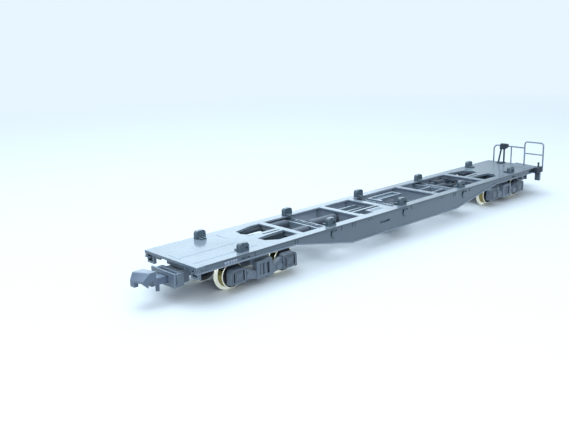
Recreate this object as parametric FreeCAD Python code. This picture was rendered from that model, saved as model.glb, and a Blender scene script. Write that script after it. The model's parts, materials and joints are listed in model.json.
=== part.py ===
import FreeCAD, Part
import os

# Scale model (1:150, 9 mm gauge) of a long bogie flat car that carries five short containers.
# X runs along the car from the middle of its frame, the handrail and brake stand are at +X.
# Y runs across the car, +Y is the left side. Z is up from the wheel flanges' lowest points.
# All sizes are in millimetres.

# ---- driving dimensions -------------------------------------------------------------------
frame_length = 130.6        # over the end edges of the deck
frame_width = 17.6          # over the side sill flanges
wheel_diameter = 5.6        # at the tread
flange_depth = 0.7          # wheel flange below the rail top
wheel_to_deck = 0.8         # free height between a wheel flange and the deck's underside
bogie_centres = 96.0        # between the two pivots
pivot_shift = 0.9           # middle of the pivots from the frame's middle, toward the brake end
bogie_wheelbase = 14.2
lock_pitch = 25.9           # between neighbouring pairs of container locks
lock_shift = -0.6           # middle pair of locks from the frame's middle
coupler_reach = 7.8         # coupler nose beyond the deck's end edge

# ---- frame section ------------------------------------------------------------------------
flange_width = 2.2          # side sill top flange
flange_thickness = 0.35
deck_thickness = 0.6
web_thickness = 0.6
web_recess = 0.25           # web stands this far inside the flanges' outer edge
lip_width = 1.5             # bottom flange
lip_thickness = 0.3
shallow_height = 1.5        # side sill over the bogies
deep_height = 5.0           # side sill at mid car
deep_half_length = 21.0     # where the sill's bottom starts to rise
taper_end_plain = 39.0      # where it meets the shallow part, plain end
taper_end_brake = 40.6      # the same at the brake end
deck_inner_plain = 36.1     # inner edge of the end deck, plain end
deck_inner_brake = 38.4
end_cap_length = 1.9        # full-width strip at the very end
beam_width = 1.5            # cross beams: flat top
beam_web = 0.6
beam_depth = 3.2

# ---- fits ---------------------------------------------------------------------------------
journal_clearance = 0.05    # radial, axle in its bearing
pivot_clearance = 0.05      # radial, kingpin in the bogie's centre plate
coupler_pin_clearance = 0.05
seat_gap = 0.1              # between faces that slide or turn past each other

# ---- derived levels and places ------------------------------------------------------------
half_length = frame_length / 2
half_width = frame_width / 2
wheel_half = wheel_diameter / 2
axle_z = flange_depth + wheel_half
wheel_top = axle_z + wheel_half + flange_depth
deck_underside = wheel_top + wheel_to_deck
deck_top = deck_underside + deck_thickness
flange_underside = deck_top - flange_thickness
flange_inner = half_width - flange_width
web_outer = half_width - web_recess
web_inner = web_outer - web_thickness
lip_inner = half_width - lip_width
shallow_bottom = deck_top - shallow_height
deep_bottom = deck_top - deep_height
cap_start = half_length - end_cap_length
nose_x = half_length + coupler_reach

UP = FreeCAD.Vector(0, 0, 1)
ACROSS = FreeCAD.Vector(0, 1, 0)

os.makedirs("parts", exist_ok=True)


# ---- shape helpers ------------------------------------------------------------------------
def vec(x, y, z):
    return FreeCAD.Vector(x, y, z)


def box(x0, x1, y0, y1, z0, z1):
    """Box between two corners, given in either order."""
    size_x, size_y, size_z = abs(x1 - x0), abs(y1 - y0), abs(z1 - z0)
    return Part.makeBox(size_x, size_y, size_z, vec(min(x0, x1), min(y0, y1), min(z0, z1)))


def rod(start, end, radius):
    """Round bar between two points."""
    direction = end - start
    return Part.makeCylinder(radius, direction.Length, start, direction)


def prism(points, direction):
    """Closed outline of corner points, pushed along a direction."""
    wire = Part.makePolygon(points + [points[0]])
    return Part.Face(wire).extrude(direction)


def side_prism(outline, y0, y1):
    """Outline of (x, z) corners, pushed across the car from y0 to y1."""
    corners = [vec(x, y0, z) for x, z in outline]
    return prism(corners, vec(0, y1 - y0, 0))


def plan_prism(outline, z0, z1):
    """Outline of (x, y) corners, pushed up from z0 to z1."""
    corners = [vec(x, y, z0) for x, y in outline]
    return prism(corners, vec(0, 0, z1 - z0))


def round_top(solid, radius):
    """Round the two upper edges of a solid that run across the car."""
    top = solid.BoundBox.ZMax
    edges = []
    for edge in solid.Edges:
        tips = [corner.Point for corner in edge.Vertexes]
        across = abs(tips[0].x - tips[1].x) < 1e-6 and abs(tips[0].y - tips[1].y) > 1e-6
        if across and min(tips[0].z, tips[1].z) > top - 1e-6:
            edges.append(edge)
    return solid.makeFillet(radius, edges)


def fuse(shapes):
    """One clean solid out of pieces that touch or cross."""
    body = shapes[0]
    if len(shapes) > 1:
        body = body.fuse(shapes[1:])
    return body.removeSplitter()


def cut(body, tools):
    return body.cut(tools).removeSplitter()


def pivot(end):
    """Place of an end's bogie pivot along the car."""
    return pivot_shift + end * bogie_centres / 2


def save(name, solids):
    """Write one node. Its solids do not touch each other."""
    shape = solids[0] if len(solids) == 1 else Part.makeCompound(solids)
    shape.exportStep("parts/" + name + ".step")


ends = (
    # sign along X, label
    (-1, "plain"),
    (1, "brake"),
)
lock_places = [lock_shift + number * lock_pitch for number in (-2, -1, 0, 1, 2)]
lock_second, lock_middle, lock_fourth = lock_places[1:4]


# ---- side sills ---------------------------------------------------------------------------
lock_length = 2.55
lock_thickness = 1.0
lock_inset = 1.7            # lock's centre line from the sill's outer edge
lock_y = half_width - lock_inset
lock_height = 1.8           # above the deck
lock_seat = 0.1             # depth the locks are let into the top flange
slot_depth = 0.3            # slots in the web by each lock
lever_slots = (
    # start and end from the lock's centre, bottom and top below the deck top
    (-1.75, -0.95, 2.0, 0.75),
    (-0.7, 0.5, 1.15, 0.75),
)
shallow_slot_drop = 1.1     # the slots end here where the sill is shallow
web_recesses = (
    # side, centre x: oblong recesses in the deep web
    (-1, -9.0),
    (1, -5.3),
)
web_recess_length = 3.8
web_recess_height = 0.6
web_recess_depth = 0.45
web_recess_drop = 2.3       # centre below the deck top


def sill_outline(lift):
    """Side view of a sill from its bottom edge, raised by lift, up to the top flange."""
    low, high = deep_bottom + lift, shallow_bottom + lift
    return [
        (-half_length, deck_top),
        (-half_length, high),
        (-taper_end_plain, high),
        (-deep_half_length, low),
        (deep_half_length, low),
        (taper_end_brake, high),
        (half_length, high),
        (half_length, deck_top),
    ]


def is_deep(x):
    """True where the sill has its full depth or nearly so."""
    return abs(x) < taper_end_plain - 2 * lock_length


def lever_pockets(side):
    """Shallow slots in the web at every lock, where its lever and its bolt show."""
    outer, inner = side * half_width, side * (web_outer - slot_depth)
    pockets = []
    for lock_x in lock_places:
        for start, end, bottom_drop, top_drop in lever_slots:
            drop = bottom_drop if is_deep(lock_x) else min(bottom_drop, shallow_slot_drop)
            pockets.append(box(lock_x + start, lock_x + end, outer, inner,
                               deck_top - drop, deck_top - top_drop))
    return pockets


def lock_block(x, side):
    """The plain block of a lock, from its seat in the top flange up."""
    y = side * lock_y
    return box(x - lock_length / 2, x + lock_length / 2, y - lock_thickness / 2,
               y + lock_thickness / 2, deck_top - lock_seat, deck_top + lock_height)


def oblong_recess(side, x):
    """Recess with round ends in the web's outer face."""
    z, radius = deck_top - web_recess_drop, web_recess_height / 2
    straight = web_recess_length / 2 - radius
    outer, inner = side * (half_width + 1), side * (web_outer - web_recess_depth)
    slot = box(x - straight, x + straight, inner, outer, z - radius, z + radius)
    round_ends = [rod(vec(x + shift, inner, z), vec(x + shift, outer, z), radius)
                  for shift in (-straight, straight)]
    return fuse([slot] + round_ends)


def side_sill(side):
    """Fish-bellied sill: top flange, web and bottom flange. side is +1 for +Y."""
    web = side_prism(sill_outline(0), side * web_inner, side * web_outer)
    top = box(-half_length, half_length, side * flange_inner, side * half_width,
              flange_underside, deck_top)
    lip_body = side_prism(sill_outline(0), side * lip_inner, side * half_width)
    above_lip = side_prism(sill_outline(lip_thickness), side * lip_inner, side * half_width)
    sill = fuse([web, top, lip_body.cut(above_lip)])
    tools = lever_pockets(side) + [lock_block(x, side) for x in lock_places]
    for end, _ in ends:
        tools.append(box(end * cap_start, end * half_length, side * flange_inner,
                         side * half_width, deck_underside, deck_top))
    tools += [oblong_recess(side, x) for web_side, x in web_recesses if web_side == side]
    return cut(sill, tools)


save("side_sill_left", [side_sill(1)])
save("side_sill_right", [side_sill(-1)])


# ---- end decks ----------------------------------------------------------------------------
scribe_width = 0.14
scribe_depth = 0.1
scribe_y = 1.4              # long line beside the middle, on the right
seam_y = 6.15               # long line over the sill's inner edge
scribe_end = half_length - 1.1
scribe_cross = 48.7         # short lines beside the inner ends of the openings
end_line_half = 1.9         # half length of the line along the plain end's edge
brake_line = (-7.5, -2.1)   # the same line at the brake end, from side to side
brake_line_back = 0.5       # its distance from the other lines' end
opening_reach = 8.5         # openings' length toward the car's end
opening_rim = 0.25          # deck left between an opening and the side sill


def deck_openings():
    """The openings at the inner edge of an end deck, as (x, y) outlines.

    x is counted from the inner edge toward the car's end.
    Two wide outer openings have slanting sides, two narrow slots lie between them.
    """
    reach, wide = opening_reach, flange_inner - opening_rim
    left = [(0, 0.5), (0, wide), (0.3 * reach, wide), (0.93 * reach, wide - 1.2),
            (reach, wide - 3.6), (0.88 * reach, 0.9), (0.5 * reach, 0.6)]
    right = [(0, -1.7), (0, -wide), (0.68 * reach, -wide - 0.1), (0.95 * reach, -wide + 1.7),
             (0.97 * reach, -2.4), (0.5 * reach, -1.9)]
    wide_slot = [(0.4, -1.15), (0.4, -0.55), (0.62 * reach, -0.4), (0.62 * reach, -0.9)]
    thin_slot = [(0.76 * reach, 0.4), (0.76 * reach, 0.65), (0.98 * reach, 0.7),
                 (0.98 * reach, 0.45)]
    return [left, right, wide_slot, thin_slot]


def end_deck(end):
    """Plate over a bogie. end is -1 for the plain end and +1 for the brake end."""
    inner = deck_inner_plain if end < 0 else deck_inner_brake
    plate = box(end * inner, end * cap_start, -flange_inner, flange_inner, deck_underside, deck_top)
    cap = box(end * cap_start, end * half_length, -half_width, half_width, deck_underside, deck_top)
    end_line = (scribe_end, scribe_end, -end_line_half, end_line_half)
    if end > 0:
        end_line = (scribe_end - brake_line_back, scribe_end - brake_line_back, *brake_line)
    tools = []
    for outline in deck_openings():
        placed = [(end * (inner + x), y) for x, y in outline]
        tools.append(plan_prism(placed, deck_underside - 1, deck_top + 1))
    scribed_lines = [
        # inner and outer x, y of both ends of the line
        (scribe_cross + 0.9, scribe_end - 0.3, -scribe_y, -scribe_y),
        (scribe_cross - 1.0, scribe_end - 0.3, -seam_y, -seam_y),
        end_line,
        (scribe_cross, scribe_cross, 2.1, seam_y),
        (scribe_cross, scribe_cross, -seam_y, -4.2),
    ]
    line_half = scribe_width / 2
    for x_in, x_out, y_low, y_high in scribed_lines:
        tools.append(box(end * (x_in - line_half), end * (x_out + line_half), y_low - line_half,
                         y_high + line_half, deck_top - scribe_depth, deck_top + 1))
    return cut(fuse([plate, cap]), tools)


for end, label in ends:
    save("end_deck_" + label, [end_deck(end)])


# ---- cross beams and the members between the locks ----------------------------------------
beam_web_half = beam_web / 2
beam_plain, beam_brake = beam_width / 2 - deck_inner_plain, deck_inner_brake - beam_width / 2
beam_second, beam_third, beam_fourth = -15.2, -4.5, 15.0
shallow_web_bottom = shallow_bottom + 0.1
member_drop = 0.9           # lock member's top below the deck top
member_width = 2.6
member_height = 1.6
member_wall = 0.35
member_half = member_width / 2


def cross_beam(x, web_bottom):
    """T section: a flat top over a thin web."""
    top = box(x - beam_width / 2, x + beam_width / 2, -flange_inner, flange_inner,
              flange_underside, deck_top)
    web = box(x - beam_web_half, x + beam_web_half, -web_inner, web_inner,
              web_bottom, flange_underside)
    return fuse([top, web])


save("cross_beams", [
    cross_beam(beam_plain, shallow_web_bottom),
    cross_beam(beam_second, deck_top - beam_depth),
    cross_beam(beam_third, deck_top - beam_depth),
    cross_beam(beam_fourth, deck_top - beam_depth),
    cross_beam(beam_brake, shallow_web_bottom),
])


def lock_member(x):
    """Low trough across the open bays, joining the two locks of a pair."""
    top = deck_top - member_drop
    trough = box(x - member_half, x + member_half, -web_inner, web_inner, top - member_height, top)
    hollow = box(x - member_half + member_wall, x + member_half - member_wall,
                 member_wall - web_inner, web_inner - member_wall,
                 top - member_height + member_wall, top + 1)
    return cut(trough, [hollow])


save("lock_cross_members", [lock_member(x) for x in lock_places[1:4]])


# ---- container locks ----------------------------------------------------------------------
lock_round = 0.75           # radius of the two top corners
groove_depth = 0.35
groove_top = (-0.7, -0.15)      # sides of the groove, from the lock's centre
groove_bottom = (-0.3, 0.0)
window_start, window_end = 0.15, 1.0
window_drop = 0.85          # window's top and bottom below the lock's top
window_foot = 1.5
prong_starts = (-0.75, 0.1)     # from the lock's centre
prong_width = 0.35
prong_length = 1.3
prong_height = 0.35


def container_lock(x, side):
    """Upright guide block with round top corners, let into the sill's top flange.

    Its outer face has a slanting groove beside a small window, two prongs lie on the inner side.
    """
    top = deck_top + lock_height
    outer, inner = side * (lock_y + lock_thickness / 2), side * (lock_y - lock_thickness / 2)
    block = round_top(lock_block(x, side), lock_round)
    prongs = [box(x + start, x + start + prong_width, inner, inner - side * prong_length,
                  deck_top, deck_top + prong_height) for start in prong_starts]
    groove_outline = [(x + groove_top[0], top + 0.1), (x + groove_bottom[0], top - window_foot),
                      (x + groove_bottom[1], top - window_foot), (x + groove_top[1], top + 0.1)]
    groove = side_prism(groove_outline, outer - side * groove_depth, outer + side)
    window = box(x + window_start, x + window_end, outer - side * groove_depth, outer + side,
                 top - window_foot, top - window_drop)
    return cut(fuse([block] + prongs), [groove, window])


for number, lock_x in enumerate(lock_places, start=1):
    pair = [container_lock(lock_x, side) for side in (1, -1)]
    save("container_lock_pair_" + str(number), pair)


lever_thickness = 0.2
lever_bar = 0.3
lever_top = flange_underside - 0.25


def lock_lever(x, side):
    """Hooked release lever on the face of the web below a lock, straight on the shallow sill."""
    high = lever_top
    if is_deep(x):
        low = deck_top - 2.6
        outline = [(x - 0.9, high), (x - 1.5, low + 0.5), (x - 1.1, low), (x - 0.4, low + 0.1),
                   (x - 0.4, low + 0.35), (x - 1.0, low + 0.3), (x - 1.2, low + 0.6),
                   (x - 0.9 + lever_bar, high)]
    else:
        low = shallow_bottom + lip_thickness
        outline = [(x - 0.9, low), (x - 0.9 + lever_bar, low), (x - 0.3, high),
                   (x - 0.3 - lever_bar, high)]
    return side_prism(outline, side * web_outer, side * (web_outer + lever_thickness))


save("lock_levers", [lock_lever(lock_x, side) for lock_x in lock_places for side in (1, -1)])


# ---- fittings in the open bays ------------------------------------------------------------
walkway_inner_y = 3.9
walkway_start = beam_second + 4.4
walkway_end = beam_third - beam_width / 2
walkway_bar = 0.35
walkway_border = 0.6
stringer_width = 0.6
stringer_y = -2.7           # beside the walkway, at deck level
stringer_depth = 0.95
rib_width = 0.5             # lower longitudinal members
tray_bay_ribs = (1.2, 4.0)      # their places across the car
cylinder_bay_ribs = (-2.2, 2.2)
rib_drop = 0.9
rib_height = 1.1


def walkway():
    """Grated walkway plate beside the right sill, with slots across it."""
    plate = box(walkway_start, walkway_end, -flange_inner, -walkway_inner_y,
                flange_underside, deck_top)
    slots = []
    pitch = 2 * walkway_bar
    slot_count = int((walkway_end - walkway_start - 2 * walkway_border) / pitch)
    for number in range(slot_count):
        x = walkway_start + walkway_border + number * pitch
        slots.append(box(x, x + walkway_bar, walkway_border - flange_inner,
                         -walkway_inner_y - walkway_border, flange_underside - 1, deck_top + 1))
    return cut(plate, slots)


def low_rib(x_start, x_end, y):
    top = deck_top - rib_drop
    return box(x_start, x_end, y - rib_width / 2, y + rib_width / 2, top - rib_height, top)


save("walkway_grate", [walkway()])
stringer = box(beam_second + beam_width / 2, beam_third - beam_width / 2,
               stringer_y - stringer_width / 2, stringer_y + stringer_width / 2,
               deck_top - stringer_depth, deck_top)
save("bay_stringers", [stringer] + [
    low_rib(beam_second + beam_web_half, beam_third - beam_web_half, y) for y in tray_bay_ribs
] + [
    low_rib(beam_fourth + beam_web_half, lock_fourth - member_half, y) for y in cylinder_bay_ribs
])

tray_inner_y, tray_outer_y = 2.0, 5.3
tray_length = 10.4
tray_bar = 0.45
tray_top = deck_top - 0.5
tray_height = 0.9
tray_floor = 0.3
terminal_length = 1.0       # block at the tray's near end
terminal_width = 1.3


def equipment_tray():
    """Open tray beside the middle lock member, with a terminal block at its near end."""
    start = lock_middle + member_half
    body = box(start, start + tray_length, tray_inner_y, tray_outer_y,
               tray_top - tray_height, tray_top)
    hollow = box(start + tray_bar, start + tray_length - tray_bar, tray_inner_y + tray_bar,
                 tray_outer_y - tray_bar, tray_top - tray_height + tray_floor, tray_top + 1)
    block = box(start, start + terminal_length, tray_inner_y - terminal_width,
                tray_inner_y + tray_bar / 2, tray_top - tray_height, tray_top)
    return fuse([body.cut(hollow), block])


save("equipment_tray", [equipment_tray()])


# ---- air and brake gear -------------------------------------------------------------------
tank_radius = 1.35
tank_drop = 0.75            # tank top below the deck top
side_tank_radius = 1.2
side_tank_drop = 0.6
side_tank_y = lip_inner - side_tank_radius - 0.15
tank_cap = 0.4              # length of a tank's end cap
tank_cap_step = 0.3         # its radius is smaller by this
pipe_radius = 0.22
bay_start = lock_fourth + member_half
pipes = (
    # x start, x end, y, drop below the deck top
    (lock_middle + member_half, beam_fourth - beam_web_half, -4.4, 1.9),
    (beam_fourth + beam_web_half, lock_fourth - member_half, -4.2, 2.1),
    (beam_fourth + beam_web_half, lock_fourth - member_half, 5.0, 2.4),
)


def tank(x_start, x_end, y, radius, drop):
    """Air reservoir: a drum with a slightly smaller end cap at each end."""
    level = deck_top - drop - radius
    drum = rod(vec(x_start + tank_cap, y, level), vec(x_end - tank_cap, y, level), radius)
    caps = rod(vec(x_start, y, level), vec(x_end, y, level), radius - tank_cap_step)
    return fuse([drum, caps])


first_bay = (beam_plain + beam_web_half, lock_second - member_half)
second_bay = (lock_second + member_half, beam_second - beam_web_half)
save("air_reservoirs", [
    tank(*first_bay, side_tank_y, side_tank_radius, side_tank_drop),
    tank(*first_bay, -1.0, tank_radius, tank_drop),
    tank(*second_bay, 1.6, tank_radius, tank_drop),
])

cylinder_y = 1.8
cylinder_level = deck_top - 2.35
cylinder_parts = (
    # start and end from the lock member, radius: the cylinder and its rod guide
    (0.0, 4.2, 1.5),
    (4.2, 5.4, 0.9),
)
save("brake_cylinder", [fuse([
    rod(vec(bay_start + start, cylinder_y, cylinder_level),
        vec(bay_start + end, cylinder_y, cylinder_level), radius)
    for start, end, radius in cylinder_parts
])])

valve_top = deck_top - 1.9
valve_bottom = valve_top - 1.2
control_start = lock_middle + member_half
control_blocks = (
    # start and end from the lock member, right and left side, bottom, top
    (0.0, 6.4, -2.9, 0.2, valve_bottom, valve_top),
    (0.8, 3.0, -2.3, -0.3, valve_top, valve_top + 0.7),
)
relay_length = 3.6
relay_y = -3.4
relay_half = 1.2
relay_dome_radius, relay_dome_height = 0.8, 0.8
relay_x = bay_start + relay_length / 2
save("brake_valve_box", [
    fuse([
        box(control_start + start, control_start + end, right, left, bottom, top)
        for start, end, right, left, bottom, top in control_blocks
    ]),
    fuse([
        box(bay_start, bay_start + relay_length, relay_y - relay_half, relay_y + relay_half,
            valve_bottom, valve_top),
        rod(vec(relay_x, relay_y, valve_top), vec(relay_x, relay_y, valve_top + relay_dome_height),
            relay_dome_radius),
    ]),
])


# ---- bogie levels, used by the body bolsters too ------------------------------------------
bogie_top = axle_z + 2.2            # top of the bogie's centre plate
bogie_plate_thickness = 1.2
bogie_plate_bottom = bogie_top - bogie_plate_thickness
kingpin_radius = 1.1
kingpin_collar = 0.6                # head beyond the pin's radius
kingpin_head = 0.5
centre_plate_radius = 2.6
bolster_length = 5.0
bolster_depth = 0.9
bolster_bottom = deck_underside - bolster_depth
centre_depth = 1.5
centre_web = 0.3
centre_web_places = (-1.65, 0.15)   # right side of each web, beside the openings in the deck
wheel_inner, flange_outer, wheel_outer = 3.7, 4.2, 5.75
duct_radius = 0.5                   # thick pipe seen through the plain end's left opening
duct_share = 0.613                  # its place on the way from the wheels' flanges to the sill
duct_y = flange_outer + duct_share * (lip_inner - flange_outer)
duct_level = deck_underside - seat_gap - duct_radius
duct_tail = 0.1                     # length of it beyond the deck's inner edge
duct_end = duct_tail - deck_inner_plain


def body_bolster(end):
    """Cross piece under the end deck, its centre plate and the headed kingpin."""
    x = pivot(end)
    beam = box(x - bolster_length / 2, x + bolster_length / 2, -lip_inner, lip_inner,
               bolster_bottom, deck_underside)
    plate = rod(vec(x, 0, bogie_top), vec(x, 0, bolster_bottom), centre_plate_radius)
    stem_bottom = bogie_plate_bottom - seat_gap
    stem = rod(vec(x, 0, stem_bottom), vec(x, 0, bogie_top), kingpin_radius)
    head = rod(vec(x, 0, stem_bottom - kingpin_head), vec(x, 0, stem_bottom),
               kingpin_radius + kingpin_collar)
    return fuse([beam, plate, stem, head])


def centre_sill(end, inner):
    """Two thin webs under an end deck, from its cross beam almost to the body bolster."""
    face = abs(pivot(end)) - centre_plate_radius - seat_gap
    return [box(end * (inner - beam_width / 2 + beam_web_half), end * face, y, y + centre_web,
                deck_underside - centre_depth, deck_underside) for y in centre_web_places]


for end, label in ends:
    save("bolster_kingpin_" + label, [body_bolster(end)])
save("centre_sills", centre_sill(-1, deck_inner_plain) + centre_sill(1, deck_inner_brake))

save("brake_pipes", [
    rod(vec(x_start, y, deck_top - drop), vec(x_end, y, deck_top - drop), pipe_radius)
    for x_start, x_end, y, drop in pipes
] + [
    rod(vec(pivot(-1) + bolster_length / 2, duct_y, duct_level), vec(duct_end, duct_y, duct_level),
        duct_radius)
])


# ---- bogies -------------------------------------------------------------------------------
sideframe_inner, sideframe_outer = 6.2, 7.8
sideframe_beam = 7.35               # outer face of the sloping beams
sideframe_column = 7.6              # outer face of the two columns beside the springs
frame_plate_half = 2.6              # half width of the bogie's transom along the car
frame_end_gap = 0.5                 # between the frame's middle part and the axles
frame_middle_half = 3.4             # half width of that part, between the wheels
frame_web = 0.4                     # thickness of the two webs under its edges
frame_web_bottom = axle_z - 0.1
housing_half = 2.0                  # axlebox housing, along the car
housing_top, housing_bottom = axle_z + 1.7, axle_z - 1.5
housing_round = 0.9
cover_half, cover_groove = 1.1, 0.3
cover_height = 1.2                  # half height of the axlebox cover
column_half = 2.15
column_width = 0.8
column_bottom, column_top = housing_bottom - 0.4, bogie_top - 0.3
spring_seat = 0.7                   # height of the seat below the springs
spring_cap = 0.7                    # height of the bar over them
spring_radius = 0.5
spring_offset = 0.6                 # each of the two springs from the bogie's middle
spring_y = sideframe_beam - 0.4
knob_radius = 0.8                   # round boss between a housing and its sloping beam
knob_height = 0.35
journal_radius = 0.45
journal_length = 0.8
axle_radius = 0.6
tyre_thickness = 0.55
dish_depth = 0.35
hub_radius = 1.0


def bogie_frame(end):
    """Transom, the middle part between the axles, the arm to the coupler pocket and the pocket."""
    x = pivot(end)
    middle_end = bogie_wheelbase / 2 - axle_radius - frame_end_gap
    middle = box(x - middle_end, x + middle_end, -frame_middle_half, frame_middle_half,
                 bogie_plate_bottom, bogie_top)
    webs = [box(x - middle_end, x + middle_end, side * (frame_middle_half - frame_web),
                side * frame_middle_half, frame_web_bottom, bogie_top) for side in (-1, 1)]
    plate = box(x - frame_plate_half, x + frame_plate_half, -sideframe_inner, sideframe_inner,
                bogie_plate_bottom, bogie_top)
    arm = box(x + end * frame_plate_half, end * pocket_back, -arm_half, arm_half,
              bogie_plate_bottom + seat_gap, bogie_top)
    rear = box(end * pocket_back, end * pocket_step, -rear_half, rear_half,
               pocket_bottom, pocket_top)
    pocket = box(end * pocket_step, end * pocket_front, -pocket_half, pocket_half,
                 pocket_bottom, pocket_top)
    front = box(end * (pocket_front - front_thickness), end * pocket_front, -front_half, front_half,
                pocket_bottom, pocket_top + front_rise)
    cavity = box(end * (pocket_back + pocket_wall), end * (pocket_front + 1),
                 -cavity_half, cavity_half, coupler_bottom - seat_gap, coupler_top + seat_gap)
    open_top = box(end * (pocket_front - open_top_start), end * (pocket_front - front_thickness),
                   -open_top_half, open_top_half, coupler_bottom - seat_gap, pocket_top + 1)
    side_slots = [box(end * (pocket_front - front_thickness - slot_width),
                      end * (pocket_front - front_thickness),
                      side * (pocket_half - pocket_slot_depth), side * (pocket_half + 1),
                      pocket_bottom + pocket_wall, pocket_top + 1) for side in (-1, 1)]
    pin = rod(vec(end * coupler_pivot, 0, pocket_bottom), vec(end * coupler_pivot, 0, pocket_top),
              coupler_pin_radius)
    kingpin_hole = rod(vec(x, 0, bogie_plate_bottom - 1), vec(x, 0, bogie_top + 1),
                       kingpin_radius + pivot_clearance)
    hollow_pocket = cut(fuse([rear, pocket, front]), [cavity, open_top] + side_slots)
    return cut(fuse([plate, middle, arm, hollow_pocket, pin] + webs), [kingpin_hole])


def axlebox(x, side):
    """Housing with round top corners round an axle's end."""
    housing = box(x - housing_half, x + housing_half, side * sideframe_inner,
                  side * sideframe_outer, housing_bottom, housing_top)
    return round_top(housing, housing_round)


def axlebox_cuts(x, side):
    """The bearing for the journal, and the groove round the axlebox cover."""
    bearing = rod(vec(x, side * (sideframe_inner - 1), axle_z),
                  vec(x, side * (sideframe_inner + journal_length + seat_gap), axle_z),
                  journal_radius + journal_clearance)
    groove_bottom, face = side * (sideframe_outer - cover_groove), side * (sideframe_outer + 1)
    ring = box(x - cover_half - cover_groove, x + cover_half + cover_groove, groove_bottom, face,
               axle_z - cover_height - cover_groove, axle_z + cover_height + cover_groove)
    cover = box(x - cover_half, x + cover_half, groove_bottom, face,
                axle_z - cover_height, axle_z + cover_height)
    return [bearing, ring.cut(cover)]


def sloping_beam(x, direction, side):
    """Beam from a housing down to the columns, with a round boss on its face.

    direction points from the columns to the housing.
    """
    start = x + direction * (column_half - 0.1)
    end = x + direction * (bogie_wheelbase / 2 - housing_half + 0.5)
    low, high = housing_bottom, housing_top
    outline = [(start, low - 0.2), (end, low + 0.4), (end, high - 0.5),
               (end - direction * 1.1, high - 0.7), (start, low + 1.4)]
    knob_x, knob_z = end - direction * 1.4, axle_z - 0.5
    knob = rod(vec(knob_x, side * sideframe_inner, knob_z),
               vec(knob_x, side * (sideframe_beam + knob_height), knob_z), knob_radius)
    return [side_prism(outline, side * sideframe_inner, side * sideframe_beam), knob]


def spring_group(x, side):
    """Two columns on a seat, with a bar and two springs between them."""
    inner = side * sideframe_inner
    pieces = [
        box(x - column_half, x + column_half, inner, side * (sideframe_beam - 0.5),
            column_bottom, column_top),
        box(x - column_half, x + column_half, inner, side * sideframe_column,
            column_bottom, column_bottom + spring_seat),
        box(x - column_half, x + column_half, inner, side * (sideframe_column - 0.1),
            column_top - spring_cap, column_top),
    ]
    for direction in (-1, 1):
        outer, inner_x = x + direction * column_half, x + direction * (column_half - column_width)
        pieces.append(box(outer, inner_x, inner, side * sideframe_column,
                          column_bottom, column_top))
        spring_x = x + direction * spring_offset
        pieces.append(rod(vec(spring_x, side * spring_y, column_bottom + spring_seat / 2),
                          vec(spring_x, side * spring_y, column_top - spring_cap / 2),
                          spring_radius))
    return pieces


def bogie_sideframe(end, side):
    """Outer side frame: two axleboxes joined by sloping beams to the spring group."""
    x = pivot(end)
    axles = (x - bogie_wheelbase / 2, x + bogie_wheelbase / 2)
    pieces = [axlebox(axle_x, side) for axle_x in axles] + spring_group(x, side)
    for direction in (-1, 1):
        pieces += sloping_beam(x, direction, side)
    tools = []
    for axle_x in axles:
        tools += axlebox_cuts(axle_x, side)
    return cut(fuse(pieces), tools)


def wheel(x, side):
    """Flanged wheel with a dished outer face and a hub."""
    flange = rod(vec(x, side * wheel_inner, axle_z), vec(x, side * flange_outer, axle_z),
                 wheel_half + flange_depth)
    tread = rod(vec(x, side * flange_outer, axle_z), vec(x, side * wheel_outer, axle_z), wheel_half)
    dish = rod(vec(x, side * (wheel_outer - dish_depth), axle_z),
               vec(x, side * (wheel_outer + 1), axle_z), wheel_half - tyre_thickness)
    hub = rod(vec(x, side * (wheel_outer - dish_depth), axle_z),
              vec(x, side * wheel_outer, axle_z), hub_radius)
    return fuse([fuse([flange, tread]).cut(dish), hub])


def wheelset(x):
    """Two wheels on a stepped axle, one solid."""
    journal_end = sideframe_inner + journal_length
    axle = rod(vec(x, -wheel_outer, axle_z), vec(x, wheel_outer, axle_z), axle_radius)
    journals = rod(vec(x, -journal_end, axle_z), vec(x, journal_end, axle_z), journal_radius)
    return fuse([axle, journals, wheel(x, -1), wheel(x, 1)])


# ---- coupler and its pocket ---------------------------------------------------------------
pocket_front = half_length + 1.8
pocket_back = pocket_front - 4.6
pocket_step = pocket_front - 2.5    # the pocket is narrow behind this and wide before it
rear_half = 2.35
pocket_half = 3.55
pocket_wall = 0.5
pocket_bottom, pocket_top = bogie_top - 2.2, bogie_top + 0.5
front_half = 3.95                   # plate across the pocket's mouth
front_thickness = 0.35
front_rise = 0.3
open_top_start = 1.6                # behind the pocket's front
open_top_half = pocket_half - 0.65
slot_width = 0.65                   # notch in each side right behind the front plate
pocket_slot_depth = 0.3
arm_half = 2.2
coupler_pivot = pocket_front - 2.2
coupler_pin_radius = 0.55
eye_radius = 1.45
coupler_thickness = 1.4
coupler_level = (pocket_bottom + pocket_top) / 2
coupler_bottom = coupler_level - coupler_thickness / 2
coupler_top = coupler_level + coupler_thickness / 2
cavity_half = eye_radius + 3 * seat_gap
neck_half = 1.1
head_half = 2.3
head_length = 3.0
head_bar = 0.5                      # thickness of the head below its sloping face
cheek_width = 0.7
leg_width = 1.4
low_nose, low_top = bogie_top - 0.2, bogie_top + 1.3        # head's side with the leg
high_nose, high_top = bogie_top + 0.45, bogie_top + 1.75    # head's side with the cheek
tail_radius = 0.42
tail_x = pocket_front + 1.4
tail_bottom = flange_depth + 1.9


def loft(outlines):
    """Solid between two outlines of (x, z) corners, each with its place across the car."""
    rings = []
    for outline, y in outlines:
        corners = [vec(x, y, z) for x, z in outline]
        rings.append(Part.makePolygon(corners + corners[:1]))
    return Part.makeLoft(rings, True, True)


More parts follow.
